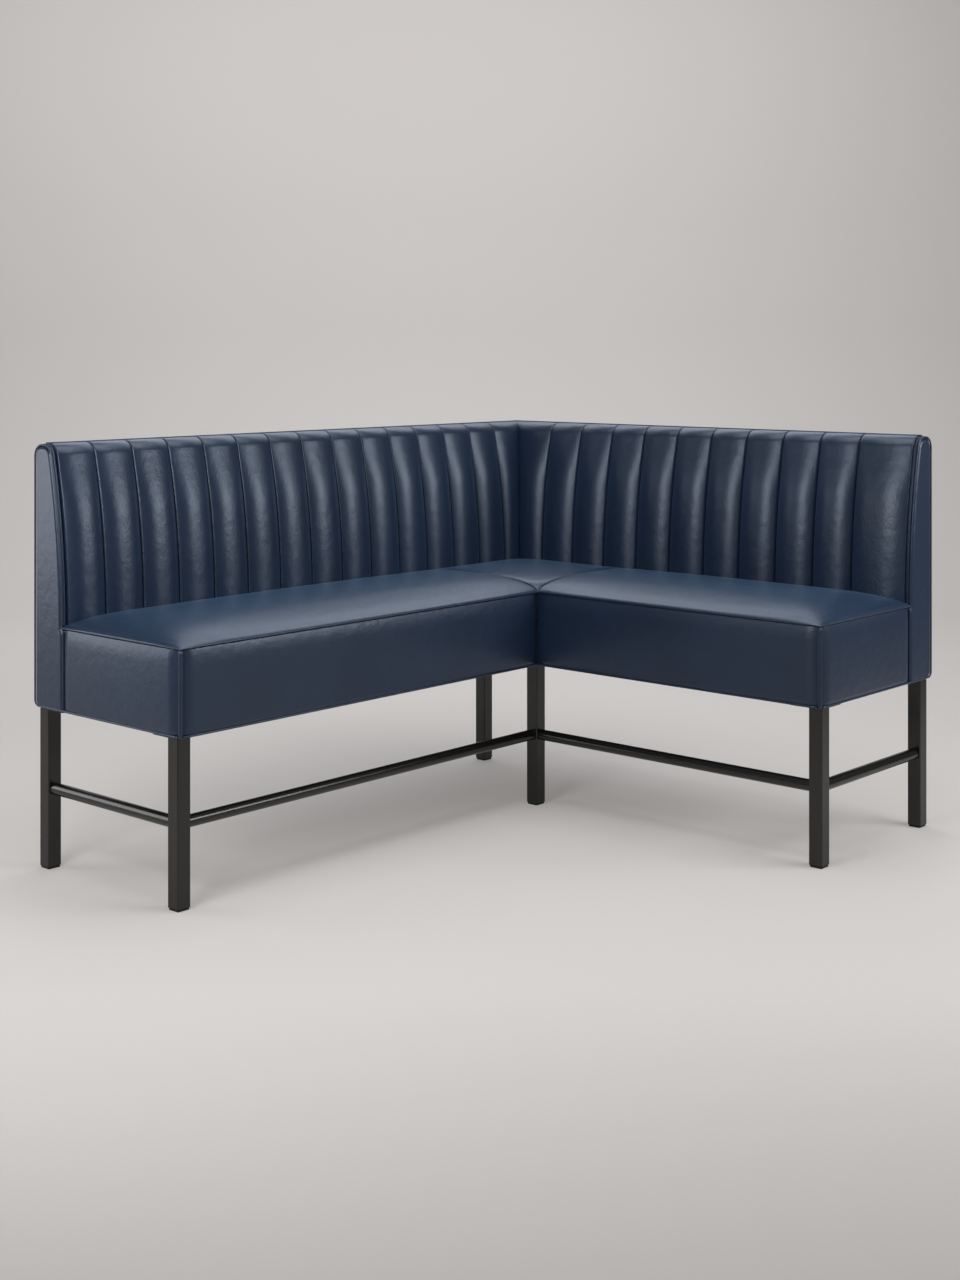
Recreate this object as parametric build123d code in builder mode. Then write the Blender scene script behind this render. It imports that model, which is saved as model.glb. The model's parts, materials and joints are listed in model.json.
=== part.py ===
from build123d import *
import os
from math import asin, cos, degrees, radians, sin, sqrt

os.makedirs("parts", exist_ok=True)

# An L-shaped upholstered bench on six square steel legs, in millimetres. The
# long wing runs along X and the short wing along Y. The origin lies on the
# floor under the middle of the whole bench. Along a wing, u is the distance
# from the outer back corner and v the distance from the wing's back plane.

# Overall sizes
long_wing = 1550
short_wing = 1250
bench_depth = 485
bench_height = 887
seat_seam_height = 507
seat_box_height = 170

# Backrest outline, seen from its open end
back_depth = 102
crest_depth = 35.4
top_front_radius = 30
top_rear_radius = 27
lip_radius = 14

# Backrest channels
long_first_seam = 165
short_first_seam = 181
long_end_channel = 98
short_end_channel = 140
long_channel_count = 15
short_channel_count = 11
channel_bulge = 16
bulge_limit_share = 0.17
pad_backing = 8
front_station_shares = (0, 0.25, 0.5, 0.72, 0.88, 1)
front_bulge_shares = (1, 1, 1, 0.95, 0.82, 0.62)
top_station_shares = (0.3, 0.62, 1)
top_bulge_shares = (0.42, 0.2, 0.02)

# Upholstered panels and piping
panel_thickness = 8
panel_edge = 4.5
panel_inset_shares = (0.041, 0.153)
panel_crown_shares = (0.7, 1)
panel_corner = 3
welt_diameter = 5
corner_welt_diameter = 9

# Seat cushions
seat_crown = 34
crown_reach_share = 0.4
crown_inset_shares = (0.01, 0.053, 0.16, 0.4, 1)
crown_height_shares = (0.12, 0.3, 0.54, 0.83, 1)
crown_back_share = 0.5
seam_roll_share = 0.03
corner_growth_share = 0.3
cushion_corner = 12
seam_corner = 2
cushion_draw_in = 2
inner_corner_notch = 2
seat_foam = 60
cover_overhang = 1

# Timber frame
base_board = 18
dust_cloth = 1
dust_cloth_margin = 6
deck_board = 12
rail_thickness = 20
cross_rail_pitch = 330
rib_thickness = 18
rib_pitch = 330
face_board = 6
bottom_rail_height = 45
top_rail_height = 50

# Steel base
leg_size = 32
leg_wall = 2.5
leg_corner = 3
leg_bore_corner = 0.6
leg_end_inset = 8
leg_front_inset = 17
leg_rear_inset = 11
rear_corner_leg_u = 192
rear_corner_leg_v = 55
plate_size = 80
plate_thickness = 4
plate_corner = 5
plate_hole_inset = 12
plate_hole_radius = 2.75
stretcher_diameter = 25
stretcher_wall = 2
stretcher_height = 167
glide_height = 5
glide_inset = 2
glide_stem = 20
glide_wall = 3
glide_chamfer = 0.6

# Fasteners
screw_radius = 2.25
screw_length = 16
screw_head_radius = 4.5
screw_head_height = 2.4
bolt_radius = 4
bolt_hole_radius = 4.5
bolt_head_width = 13
bolt_head_height = 5.3
bolt_nut_height = 6.5
washer_radius = 8
washer_thickness = 1.6
bolt_spacing = 150
bolt_tail = 3

# Clearances
touch_gap = 0.3
screw_gap = 0.1
stem_gap = 0.2
cut_overrun = 5

# Heights and depths that follow from the sizes above
seat_box_bottom = seat_seam_height - seat_box_height
board_bottom = seat_box_bottom + dust_cloth
board_top = board_bottom + base_board
deck_top = seat_seam_height - seat_foam
deck_bottom = deck_top - deck_board
frame_front = bench_depth - panel_thickness
frame_rear = back_depth - pad_backing
plate_bottom = seat_box_bottom - plate_thickness
rail_top_height = bench_height - top_rail_height
joint_u = frame_front + touch_gap
pilot_radius = screw_radius + screw_gap
board_rear = lip_radius + touch_gap
leg_half = leg_size / 2
crest_height = bench_height - top_front_radius
rise = crest_height - seat_seam_height
fall_back = back_depth - crest_depth
back_front_radius = (rise**2 + fall_back**2 - top_front_radius**2) / (2 * (fall_back - top_front_radius))
front_centre_v = back_depth - back_front_radius
lean = degrees(asin(rise / (back_front_radius - top_front_radius)))
welt_radius = welt_diameter / 2
welt_step = welt_diameter + touch_gap
inner_welt_offset = welt_radius + welt_step
pad_end_offset = inner_welt_offset + welt_radius + touch_gap
corner_welt_radius = corner_welt_diameter / 2


class Wing:
    """One arm of the L, with its own directions along and across the bench."""

    def __init__(self, name, length, turn, first_seam, end_channel, channel_count):
        self.name = name
        self.length = length
        self.turn = turn
        self.along = Vector(-1, 0, 0) if turn > 0 else Vector(0, -1, 0)
        self.across = Vector(0, -1, 0) if turn > 0 else Vector(-1, 0, 0)
        self.end = length - panel_thickness
        self.pad_end = length - pad_end_offset
        pitch = (self.pad_end - end_channel - first_seam) / (channel_count - 2)
        self.seams = [first_seam + pitch * i for i in range(channel_count - 1)]

    def at(self, u, v, z=0):
        """The point at u along the wing, v in front of its back and z high."""
        corner = Vector(long_wing / 2, short_wing / 2, z)
        return corner + self.along * u + self.across * v

    def profile_plane(self, u):
        """A sketch plane across the wing, with v as its x and height as its y."""
        return Plane(self.at(u, 0), x_dir=self.across, z_dir=self.across.cross(Vector(0, 0, 1)))

    def mitre_plane(self):
        """The upright plane through the corner that the two wings share."""
        return Plane(self.at(touch_gap, 0), z_dir=self.along - self.across)


long = Wing("long", long_wing, 1, long_first_seam, long_end_channel, long_channel_count)
short = Wing("short", short_wing, -1, short_first_seam, short_end_channel, short_channel_count)
wings = (long, short)
seat_starts = {long: bench_depth + touch_gap, short: joint_u}
frame_starts = {long: board_rear, short: joint_u}


def finish(piece, name):
    """Label a finished piece and write it to its own file."""
    piece.part.label = name
    export_step(piece.part, f"parts/{name}.step")


def plan_rectangle(wing, u_span, v_span):
    """A rectangle in a plan sketch, given by its spans along and across a wing."""
    centre = wing.at(sum(u_span) / 2, sum(v_span) / 2)
    u_size = u_span[1] - u_span[0]
    v_size = v_span[1] - v_span[0]
    with Locations((centre.X, centre.Y)):
        Rectangle(*((u_size, v_size) if wing.turn > 0 else (v_size, u_size)))


def board(name, wing, u_span, v_span, bottom, thickness, holes=()):
    """A flat board, given by its spans along and across a wing, with upright pilot holes."""
    with BuildPart() as piece:
        with BuildSketch(Plane.XY.offset(bottom)):
            plan_rectangle(wing, u_span, v_span)
            if holes:
                with Locations(*holes):
                    Circle(pilot_radius, mode=Mode.SUBTRACT)
        extrude(amount=thickness)
    finish(piece, name)


# Steel base

class Leg:
    """Where a leg stands, and which way its mounting plate reaches inward."""

    def __init__(self, name, wing, u, v, u_inward, v_inward):
        self.name = name
        self.wing = wing
        self.centre = wing.at(u, v)
        self.inward = wing.along * u_inward + wing.across * v_inward

    def plate_point(self, across, up):
        """A point on the plate, measured inward from the leg's outer corner."""
        x = self.centre.X + self.inward.X * (across - leg_half)
        y = self.centre.Y + self.inward.Y * (up - leg_half)
        return (x, y)

    def screw_points(self):
        """The three plate corners that the leg leaves free."""
        near = plate_hole_inset
        far = plate_size - plate_hole_inset
        return [self.plate_point(far, near), self.plate_point(near, far), self.plate_point(far, far)]


leg_front_v = bench_depth - leg_front_inset - leg_half
leg_rear_v = leg_rear_inset + leg_half
leg_end = {wing: wing.length - leg_end_inset - leg_half for wing in wings}
legs = [
    Leg("long_rear", long, leg_end[long], leg_rear_v, -1, 1),
    Leg("long_front", long, leg_end[long], leg_front_v, -1, -1),
    Leg("corner_rear", long, rear_corner_leg_u, rear_corner_leg_v, 1, 1),
    Leg("corner_front", long, leg_front_v, leg_front_v, -1, -1),
    Leg("short_front", short, leg_end[short], leg_front_v, -1, -1),
    Leg("short_rear", short, leg_end[short], leg_rear_v, -1, 1),
]
leg_named = {leg.name: leg for leg in legs}
all_screws = [point for leg in legs for point in leg.screw_points()]

for leg in legs:
    with BuildPart() as tube:
        with BuildSketch(Plane.XY.offset(glide_height)):
            with Locations((leg.centre.X, leg.centre.Y)):
                bore = leg_size - 2 * leg_wall
                RectangleRounded(leg_size, leg_size, leg_corner)
                RectangleRounded(bore, bore, leg_bore_corner, mode=Mode.SUBTRACT)
        extrude(amount=plate_bottom - glide_height)
    finish(tube, f"leg_{leg.name}")

    with BuildPart() as glide:
        with BuildSketch():
            with Locations((leg.centre.X, leg.centre.Y)):
                foot = leg_size - 2 * glide_inset
                RectangleRounded(foot, foot, leg_corner - glide_inset)
        extrude(amount=glide_height)
        chamfer(glide.faces().sort_by(Axis.Z)[0].edges(), glide_chamfer)
        with BuildSketch(Plane.XY.offset(glide_height)):
            with Locations((leg.centre.X, leg.centre.Y)):
                stem = leg_size - 2 * (leg_wall + stem_gap)
                Rectangle(stem, stem)
                Rectangle(stem - 2 * glide_wall, stem - 2 * glide_wall, mode=Mode.SUBTRACT)
        extrude(amount=glide_stem)
    finish(glide, f"glide_{leg.name}")

with BuildPart() as plates:
    with BuildSketch(Plane.XY.offset(plate_bottom)):
        for leg in legs:
            with Locations(leg.plate_point(plate_size / 2, plate_size / 2)):
                RectangleRounded(plate_size, plate_size, plate_corner)
        with Locations(*all_screws):
            Circle(plate_hole_radius, mode=Mode.SUBTRACT)
    extrude(amount=plate_thickness)
finish(plates, "leg_mounting_plates")

with BuildPart() as screws:
    with BuildSketch(Plane.XY.offset(plate_bottom)):
        with Locations(*all_screws):
            Circle(screw_radius)
    extrude(amount=plate_thickness + screw_length)
    with BuildSketch(Plane.XY.offset(plate_bottom)):
        with Locations(*all_screws):
            Circle(screw_head_radius)
    extrude(amount=-screw_head_height)
finish(screws, "leg_plate_screws")


def stretcher(name, start, end):
    """A round tube between the facing sides of two legs."""
    run = end.centre - start.centre
    direction = run.normalized()
    foot = start.centre + direction * leg_half + Vector(0, 0, stretcher_height)
    with BuildPart() as tube:
        with BuildSketch(Plane(foot, z_dir=direction)):
            Circle(stretcher_diameter / 2)
            Circle(stretcher_diameter / 2 - stretcher_wall, mode=Mode.SUBTRACT)
        extrude(amount=run.length - leg_size)
    finish(tube, name)


stretcher("stretcher_long_end", leg_named["long_rear"], leg_named["long_front"])
stretcher("stretcher_long_front", leg_named["long_front"], leg_named["corner_front"])
stretcher("stretcher_short_front", leg_named["corner_front"], leg_named["short_front"])
stretcher("stretcher_short_end", leg_named["short_front"], leg_named["short_rear"])


# Seat frames of the two wings

def spread(first, last, pitch):
    """Even places from first to last, no further apart than about a pitch."""
    count = max(1, round((last - first) / pitch))
    return [first + (last - first) * i / count for i in range(count + 1)]


rail_height = deck_bottom - board_top
front_rail_span = (frame_front - rail_thickness, frame_front)
rear_rail_span = (frame_rear + touch_gap, frame_rear + touch_gap + rail_thickness)
bolt_height = board_top + rail_height / 2
bolt_grip = 2 * rail_thickness + touch_gap


def bolt_planes(depth, facing):
    """Planes across the two corner bolts, at a depth behind the first rail's inner side."""
    return [
        Plane(long.at(u, front_rail_span[0] + depth, bolt_height), z_dir=long.across * facing)
        for u in (bench_depth / 2 - bolt_spacing / 2, bench_depth / 2 + bolt_spacing / 2)
    ]


def bolt_holes():
    """Bores for the corner bolts, through the rail that is being made."""
    with Locations(*bolt_planes(-cut_overrun, -1)):
        Hole(bolt_hole_radius, bolt_grip + 2 * cut_overrun)


for wing in wings:
    start = frame_starts[wing]
    wing_screws = [point for leg in legs if leg.wing is wing for point in leg.screw_points()]
    board(f"{wing.name}_base_board", wing, (start, wing.end), (board_rear, frame_front),
          board_bottom, base_board, wing_screws)
    cloth_length = (start + dust_cloth_margin, wing.end - dust_cloth_margin)
    cloth_depth = (board_rear + dust_cloth_margin, frame_front - dust_cloth_margin)
    board(f"{wing.name}_dust_cloth", wing, cloth_length, cloth_depth, seat_box_bottom,
          dust_cloth, wing_screws)

    inner = frame_rear + touch_gap if wing is long else joint_u
    cross_first = inner + rail_thickness / 2
    cross_last = wing.end - rail_thickness / 2
    cross_spans = [
        (u - rail_thickness / 2, u + rail_thickness / 2)
        for u in spread(cross_first, cross_last, cross_rail_pitch)
    ]
    cross_depth = (rear_rail_span[1], front_rail_span[0])
    board(f"{wing.name}_rear_rail", wing, (inner, wing.end), rear_rail_span, board_top, rail_height)
    board(f"{wing.name}_deck_board", wing, (inner, wing.end),
          (frame_rear + touch_gap, frame_front), deck_bottom, deck_board)

    with BuildPart() as front_rail:
        with BuildSketch(Plane.XY.offset(board_top)):
            plan_rectangle(wing, (inner, wing.end), front_rail_span)
        extrude(amount=rail_height)
        if wing is long:
            bolt_holes()
    finish(front_rail, f"{wing.name}_front_rail")

    with BuildPart() as cross_rails:
        with BuildSketch(Plane.XY.offset(board_top)):
            for span in cross_spans:
                plan_rectangle(wing, span, cross_depth)
        extrude(amount=rail_height)
        if wing is short:
            bolt_holes()
    finish(cross_rails, f"{wing.name}_cross_rails")

with BuildPart() as bolts:
    with BuildSketch(*bolt_planes(0, -1)):
        Circle(washer_radius)
        Circle(bolt_radius, mode=Mode.SUBTRACT)
    extrude(amount=washer_thickness)
    with BuildSketch(*bolt_planes(-washer_thickness, -1)):
        RegularPolygon(bolt_head_width / 2, 6, major_radius=False)
    extrude(amount=bolt_head_height)
    with BuildSketch(*bolt_planes(-washer_thickness, 1)):
        Circle(bolt_radius)
    extrude(amount=bolt_grip + 2 * washer_thickness + bolt_nut_height + bolt_tail)
finish(bolts, "corner_bolts")

with BuildPart() as nuts:
    with BuildSketch(*bolt_planes(bolt_grip, 1)):
        Circle(washer_radius)
        Circle(bolt_radius + screw_gap, mode=Mode.SUBTRACT)
    extrude(amount=washer_thickness)
    with BuildSketch(*bolt_planes(bolt_grip + washer_thickness, 1)):
        RegularPolygon(bolt_head_width / 2, 6, major_radius=False)
        Circle(bolt_radius + screw_gap, mode=Mode.SUBTRACT)
    extrude(amount=bolt_nut_height)
finish(nuts, "corner_nuts")


# Backrests

def front_edge(inset):
    """The outline's front, from the seat up and over the top to its crest."""
    front_centre = (front_centre_v, seat_seam_height)
    front = CenterArc(front_centre, back_front_radius - inset, 0, lean)
    top = CenterArc((crest_depth, crest_height), top_front_radius - inset, lean, 90 - lean)
    return front, top


def crest_edge(inset):
    """The flat of the top and the round over its rear edge."""
    rear_centre = (top_rear_radius, bench_height - top_rear_radius)
    shoulder = CenterArc(rear_centre, top_rear_radius - inset, 90, 90)
    crest = Line((crest_depth, bench_height - inset), shoulder @ 0)
    return crest, shoulder


def rear_edge(inset):
    """The outline's rear, from the crest over the top, down and round the foot."""
    crest, shoulder = crest_edge(inset)
    lip_centre = (lip_radius, seat_box_bottom + lip_radius)
    lip = CenterArc(lip_centre, lip_radius - inset, 180, 90)
    Line(shoulder @ 1, lip @ 0)
    return crest, lip


def back_section(inset, low, high, mode=Mode.ADD):
    """The backrest's side shape, drawn in by an inset, between two heights."""
    with BuildSketch(mode=Mode.PRIVATE) as section:
        with BuildLine():
            front = front_edge(inset)[0]
            shoulder = crest_edge(inset)[1]
            Polyline(shoulder @ 1, (inset, seat_box_bottom),
                     (back_depth - inset, seat_box_bottom), front @ 0)
        make_face()
        with Locations((0, low)):
            Rectangle(2 * back_depth, high - low, align=(Align.MIN, Align.MIN), mode=Mode.INTERSECT)
    add(section.sketch, mode=mode)


def end_panel_section(plane):
    """The end panel: within the piping above the seat, and out to the seat box below it."""
    with BuildSketch(plane) as section:
        with BuildLine():
            front = front_edge(welt_step)[0]
            lip = rear_edge(welt_step)[1]
            Polyline(lip @ 1, (lip_radius, seat_box_bottom), (back_depth, seat_box_bottom),
                     (back_depth, seat_seam_height), front @ 0)
        make_face()
    return section.sketch


def rear_cover_section(plane):
    """The padded rear cover: over the top's rear half, down the back and round its foot."""
    with BuildSketch(plane) as section:
        with BuildLine():
            outer_crest, outer_lip = rear_edge(0)
            inner_crest, inner_lip = rear_edge(panel_thickness)
            Line(outer_crest @ 0, inner_crest @ 0)
            Line(outer_lip @ 1, inner_lip @ 1)
        make_face()
    return section.sketch


for wing in wings:
    turn = wing.turn
    corner_plane = wing.profile_plane(0)
    frame_length = turn * wing.end
    mitre = wing.mitre_plane()

    with BuildPart() as bottom_rail:
        with BuildSketch(corner_plane):
            back_section(pad_backing + face_board, board_top, board_top + bottom_rail_height)
            with Locations((panel_thickness, board_top)):
                Rectangle(back_depth / 2, bottom_rail_height, align=(Align.MIN, Align.MIN))
        extrude(amount=frame_length)
        split(bisect_by=mitre, keep=Keep.TOP)
    finish(bottom_rail, f"{wing.name}_back_bottom_rail")

    with BuildPart() as top_rail:
        with BuildSketch(corner_plane):
            back_section(panel_thickness, rail_top_height, bench_height)
        extrude(amount=frame_length)
        split(bisect_by=mitre, keep=Keep.TOP)
    finish(top_rail, f"{wing.name}_back_top_rail")

    with BuildPart() as face:
        with BuildSketch(corner_plane):
            back_section(pad_backing, board_top, rail_top_height)
            back_section(pad_backing + face_board, board_top, rail_top_height, Mode.SUBTRACT)
            with Locations((0, board_top)):
                Rectangle(back_depth / 2, rail_top_height - board_top,
                          align=(Align.MIN, Align.MIN), mode=Mode.SUBTRACT)
        extrude(amount=frame_length)
        split(bisect_by=mitre, keep=Keep.TOP)
    finish(face, f"{wing.name}_back_face_board")

    rib_bottom = board_top + bottom_rail_height
    with BuildPart() as ribs:
        for u in spread(back_depth, wing.end - rib_thickness, rib_pitch):
            with BuildSketch(wing.profile_plane(u)):
                back_section(pad_backing + face_board, rib_bottom, rail_top_height)
                with Locations((panel_thickness, rib_bottom)):
                    Rectangle(back_depth / 4, rail_top_height - rib_bottom,
                              align=(Align.MIN, Align.MIN))
        extrude(amount=turn * rib_thickness)
    finish(ribs, f"{wing.name}_back_ribs")

    with BuildPart() as rear_cover:
        extrude(rear_cover_section(corner_plane), amount=turn * wing.pad_end)
        split(bisect_by=mitre, keep=Keep.TOP)
    finish(rear_cover, f"{wing.name}_back_rear_cover")

    with BuildPart() as end_panel:
        extrude(end_panel_section(wing.profile_plane(wing.end)), amount=turn * panel_thickness)
    finish(end_panel, f"{wing.name}_back_end_panel")

    with BuildPart() as end_welts:
        for offset in (welt_radius, inner_welt_offset):
            with BuildLine(wing.profile_plane(wing.length - offset)) as path:
                front_edge(welt_radius)
                rear_edge(welt_radius)
            with BuildSketch(Plane(path.wire() @ 0, z_dir=path.wire() % 0)):
                Circle(welt_radius)
            sweep(path=path.wire())
    finish(end_welts, f"{wing.name}_end_welts")


# Channelled backrest pads

def clear_backing(radius, sweep_angle, shares):
    """How thick the pad can be so that its straight spans clear the curved face behind them."""
    widest = max(far - near for near, far in zip((0, *shares), shares))
    face_radius = radius - pad_backing + touch_gap
    return radius - face_radius / cos(radians(sweep_angle * widest / 2))


def pad_stations():
    """Places up the pad's face: v, height, angle of the outward side, backing and bulge."""
    backing = clear_backing(back_front_radius, lean, front_station_shares)
    places = [(back_depth, deck_top + touch_gap, 0, backing, front_bulge_shares[0])]
    for share, bulge in zip(front_station_shares, front_bulge_shares):
        angle = radians(lean * share)
        v = front_centre_v + back_front_radius * cos(angle)
        height = seat_seam_height + back_front_radius * sin(angle)
        places.append((v, height, angle, backing, bulge))
    backing = clear_backing(top_front_radius, 90 - lean, top_station_shares)
    for share, bulge in zip(top_station_shares, top_bulge_shares):
        angle = radians(lean + (90 - lean) * share)
        v = crest_depth + top_front_radius * cos(angle)
        height = crest_height + top_front_radius * sin(angle)
        places.append((v, height, angle, backing, bulge))
    return places


def channel_section(wing, v, height, angle, backing, bulge_share):
    """One cross-section of the pad: an arc over each channel and a flat back."""
    outward = wing.across * cos(angle) + Vector(0, 0, sin(angle))
    upward = wing.across * -sin(angle) + Vector(0, 0, cos(angle))
    side = -wing.turn
    back_u = v - backing * cos(angle) + touch_gap
    seams = [v + touch_gap] + wing.seams + [wing.pad_end]
    with BuildSketch(Plane(wing.at(0, v, height), x_dir=outward, z_dir=upward)) as section:
        with BuildLine():
            for near, far in zip(seams, seams[1:]):
                bulge = min(channel_bulge, bulge_limit_share * (far - near)) * bulge_share
                middle = (bulge, side * (near + far) / 2)
                ThreePointArc((0, side * near), middle, (0, side * far))
            Polyline((0, side * wing.pad_end), (-backing, side * wing.pad_end),
                     (-backing, side * back_u), (0, side * seams[0]))
        make_face()
    return section.sketch


for wing in wings:
    with BuildPart() as pad:
        loft([channel_section(wing, *station) for station in pad_stations()], ruled=True)
    finish(pad, f"{wing.name}_back_pad")


# Seat cushions and their upholstered sides

cushion_rear = back_depth + channel_bulge + touch_gap
crown_bottom = seat_seam_height + touch_gap
crown_reach = crown_reach_share * (bench_depth - cushion_rear)


def crown_levels():
    """The crown's cross-sections: how far each lies in from the free edges, and its height."""
    for inset_share, height_share in zip((0, *crown_inset_shares), (0, *crown_height_shares)):
        yield crown_reach * inset_share, crown_bottom + (seat_crown - touch_gap) * height_share


def soft_outline(wing, height, u_span, v_span, far_corner):
    """A rectangle with a straight seamed end, rounded far corners and sides that pull in."""
    (u0, u1), (v0, v1) = u_span, v_span
    middle_u, middle_v = (u0 + u1) / 2, (v0 + v1) / 2
    near, far = seam_corner, far_corner
    near_lag, far_lag = (radius * (1 - sqrt(2) / 2) for radius in (near, far))

    def spot(u, v):
        point = wing.at(u, v)
        return (point.X, point.Y)

    def arc(*places):
        ThreePointArc(*(spot(*place) for place in places))

    with BuildSketch(Plane.XY.offset(height)) as outline:
        with BuildLine():
            arc((u0 + near, v0), (middle_u, v0 + cushion_draw_in), (u1 - far, v0))
            arc((u1 - far, v0), (u1 - far_lag, v0 + far_lag), (u1, v0 + far))
            arc((u1, v0 + far), (u1 - cushion_draw_in, middle_v), (u1, v1 - far))
            arc((u1, v1 - far), (u1 - far_lag, v1 - far_lag), (u1 - far, v1))
            arc((u1 - far, v1), (middle_u, v1 - cushion_draw_in), (u0 + near, v1))
            arc((u0 + near, v1), (u0 + near_lag, v1 - near_lag), (u0, v1 - near))
            Line(spot(u0, v1 - near), spot(u0, v0 + near))
            arc((u0, v0 + near), (u0 + near_lag, v0 + near_lag), (u0 + near, v0))
        make_face()
    return outline.sketch


def corner_outline(height, inset):
    """The corner cushion at one height: a square with a notch at the bench's inner corner."""
    near = cushion_rear + inset * crown_back_share
    far = bench_depth - inset * seam_roll_share
    notch = bench_depth - inner_corner_notch - inset
    places = [(near, near), (far, near), (far, notch), (notch, notch), (notch, far), (near, far)]
    with BuildSketch(Plane.XY.offset(height)) as outline:
        with BuildLine():
            Polyline(*(tuple(long.at(u, v))[:2] for u, v in places), close=True)
        make_face()
    return outline.sketch


for wing in wings:
    start = bench_depth + touch_gap
    crown = []
    for inset, height in crown_levels():
        u_span = (start + inset * seam_roll_share, wing.length - inset)
        v_span = (cushion_rear + inset * crown_back_share, bench_depth - inset)
        corner = cushion_corner + inset * corner_growth_share
        crown.append(soft_outline(wing, height, u_span, v_span, corner))
    with BuildPart() as cushion:
        foam_u = (start + cover_overhang, wing.end - touch_gap)
        foam_v = (cushion_rear + cover_overhang, frame_front - touch_gap)
        extrude(soft_outline(wing, deck_top, foam_u, foam_v, cushion_corner),
                amount=crown_bottom - deck_top)
        loft(crown, ruled=True)
    finish(cushion, f"{wing.name}_seat_cushion")

with BuildPart() as cushion:
    with BuildSketch(Plane.XY.offset(deck_top)):
        plan_rectangle(long, (cushion_rear + cover_overhang, bench_depth - cover_overhang),
                       (cushion_rear + cover_overhang, frame_front - touch_gap))
    extrude(amount=crown_bottom - deck_top)
    loft([corner_outline(height, inset) for inset, height in crown_levels()], ruled=True)
finish(cushion, "corner_seat_cushion")


def padded_panel(name, face, width, height):
    """A flat-backed panel whose covered face swells out from its edges."""
    levels = [(0, 0), (0, panel_edge)]
    for inset_share, height_share in zip(panel_inset_shares, panel_crown_shares):
        level = panel_edge + (panel_thickness - panel_edge) * height_share
        levels.append((height * inset_share, level))
    with BuildPart() as piece:
        for inset, level in levels:
            with BuildSketch(face.offset(level)):
                with Locations((width / 2, height / 2)):
                    RectangleRounded(width - 2 * inset, height - 2 * inset, panel_corner + inset / 2)
        loft(ruled=True)
    finish(piece, name)


for wing in wings:
    panel_start = seat_starts[wing]
    panel_end = wing.length - corner_welt_diameter - touch_gap
    origin_u = panel_end if wing.turn > 0 else panel_start
    front_face = Plane(wing.at(origin_u, frame_front, seat_box_bottom),
                       x_dir=wing.along * -wing.turn, z_dir=wing.across)
    padded_panel(f"{wing.name}_front_panel", front_face, panel_end - panel_start, seat_box_height)

    end_start = back_depth + touch_gap
    end_stop = bench_depth - corner_welt_diameter - touch_gap
    origin_v = end_start if wing.turn > 0 else end_stop
    end_face = Plane(wing.at(wing.end, origin_v, seat_box_bottom),
                     x_dir=wing.across * wing.turn, z_dir=wing.along)
    padded_panel(f"{wing.name}_seat_end_panel", end_face, end_stop - end_start, seat_box_height)

    with BuildPart() as corner_welt:
        centre = wing.at(wing.length - corner_welt_radius, bench_depth - corner_welt_radius)
        with BuildSketch(Plane.XY.offset(seat_box_bottom)):
            with Locations((centre.X, centre.Y)):
                Circle(corner_welt_radius)
        extrude(amount=seat_box_height)
    finish(corner_welt, f"{wing.name}_corner_welt")
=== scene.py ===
import json
import math

import bmesh
import bpy
import numpy as np
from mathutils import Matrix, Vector


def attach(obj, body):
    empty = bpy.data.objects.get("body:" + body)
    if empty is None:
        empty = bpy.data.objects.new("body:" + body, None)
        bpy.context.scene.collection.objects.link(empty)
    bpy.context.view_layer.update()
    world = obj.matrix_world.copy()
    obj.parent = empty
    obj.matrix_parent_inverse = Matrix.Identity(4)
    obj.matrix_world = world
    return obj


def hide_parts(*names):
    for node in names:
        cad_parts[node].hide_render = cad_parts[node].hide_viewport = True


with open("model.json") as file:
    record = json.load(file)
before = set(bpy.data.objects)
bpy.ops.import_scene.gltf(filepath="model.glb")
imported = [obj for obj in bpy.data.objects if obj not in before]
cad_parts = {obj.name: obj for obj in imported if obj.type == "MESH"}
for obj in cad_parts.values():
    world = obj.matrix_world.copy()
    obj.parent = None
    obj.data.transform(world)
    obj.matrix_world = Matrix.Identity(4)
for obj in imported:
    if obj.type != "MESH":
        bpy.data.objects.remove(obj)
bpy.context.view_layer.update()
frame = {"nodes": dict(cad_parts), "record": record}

# Everything is in metres. Along a wing, u is the distance from the outer back
# corner, v the distance in front of its back plane and z the height.

LONG_WING, SHORT_WING = 1.55, 1.25
DEPTH = 0.485
HEIGHT = 0.887
SEAM_HEIGHT = 0.507
BOX_BOTTOM = 0.337
DECK_TOP = 0.447

# Backrest outline
BACK_DEPTH = 0.102
CREST_DEPTH = 0.0354
TOP_FRONT_RADIUS = 0.030
TOP_REAR_RADIUS = 0.027
LIP_RADIUS = 0.014
CREST_HEIGHT = HEIGHT - TOP_FRONT_RADIUS
RISE = CREST_HEIGHT - SEAM_HEIGHT
FALL_BACK = BACK_DEPTH - CREST_DEPTH
BACK_RADIUS = (RISE**2 + FALL_BACK**2 - TOP_FRONT_RADIUS**2) / (2 * (FALL_BACK - TOP_FRONT_RADIUS))
LEAN = math.asin(RISE / (BACK_RADIUS - TOP_FRONT_RADIUS))

# Channels
CHANNEL_BULGE = 0.016
BULGE_LIMIT_SHARE = 0.17
DOME_POWER = 2.3
CREASE_DEPTH = 0.0045
CREASE_WIDTH = 0.0013
END_DROP, END_GROOVE, END_WALL = 0.0066, 0.0045, 0.0014
PAD_BACKING = 0.0078
CHANNEL_COLUMNS = 28
FADE_START, CREST_BULGE_SHARE = 0.62, 0.55
TOP_BULGE_POWER, TOP_BULGE_REST = 1.2, 0.02

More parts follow.
